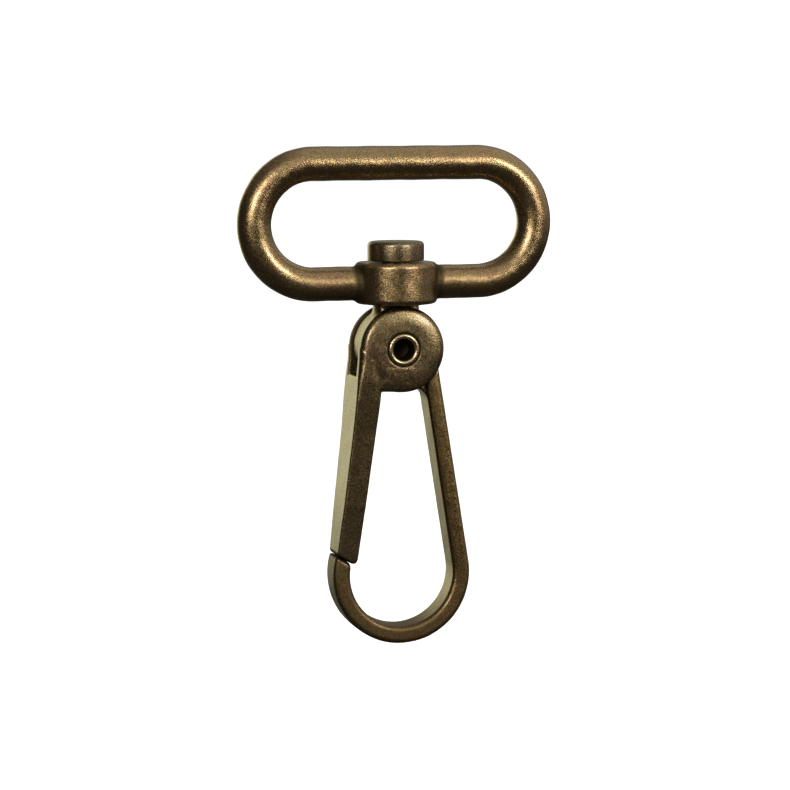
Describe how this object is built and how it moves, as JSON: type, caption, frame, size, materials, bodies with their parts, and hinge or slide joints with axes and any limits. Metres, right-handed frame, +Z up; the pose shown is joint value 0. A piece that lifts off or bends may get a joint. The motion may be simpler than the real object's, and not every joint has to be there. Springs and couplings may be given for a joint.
{
  "type": "swivel snap hook",
  "caption": "Swivel snap hook with a wide webbing loop, a hook on a riveted swivel and a sprung gate that shuts on the hook's nose.",
  "frame": {"origin": "centre of the strap bar, the loop's upper bar", "axes": "+Z up along the swivel's axis, away from the hook; +X along the strap bar, towards the hook's stem; -Y is the side with the raised step on the gate's ear"},
  "size_m": [0.0482, 0.0122, 0.0747],
  "materials": {
    "strap_loop": "antique brass plate on cast zinc, dark in the grain and rubbed bright on the edges",
    "swivel_rivet": "antique brass plate, slightly polished",
    "hook_body": "antique brass plate on cast zinc, dark in the grain and rubbed bright on the edges",
    "gate": "antique brass plate on cast zinc, satin flats and rubbed rims",
    "pivot_rivet": "semi-tubular brass rivet, its rolled lip rubbed bright",
    "gate_spring": "drawn spring wire"
  },
  "bodies": {
    "loop": {"strap_loop": "strap_loop"},
    "hook": {"hook_body": "hook_body", "swivel_rivet": "swivel_rivet", "gate_spring": "gate_spring"},
    "gate": {"gate": "gate", "pivot_rivet": "pivot_rivet"}
  },
  "joints": [
    {"name": "swivel", "type": "hinge", "parent": "loop", "child": "hook", "pos_m": [0, 0, -0.0178], "axis": [0, 0, 1], "continuous": true},
    {"name": "gate_hinge", "type": "hinge", "parent": "hook", "child": "gate", "pos_m": [0, 0, -0.0275], "axis": [0, -1, 0], "range_deg": [0, 24], "stiffness_Nm_per_rad": 0.02, "springref_deg": -28.65, "deforming": ["gate_spring"]}
  ]
}
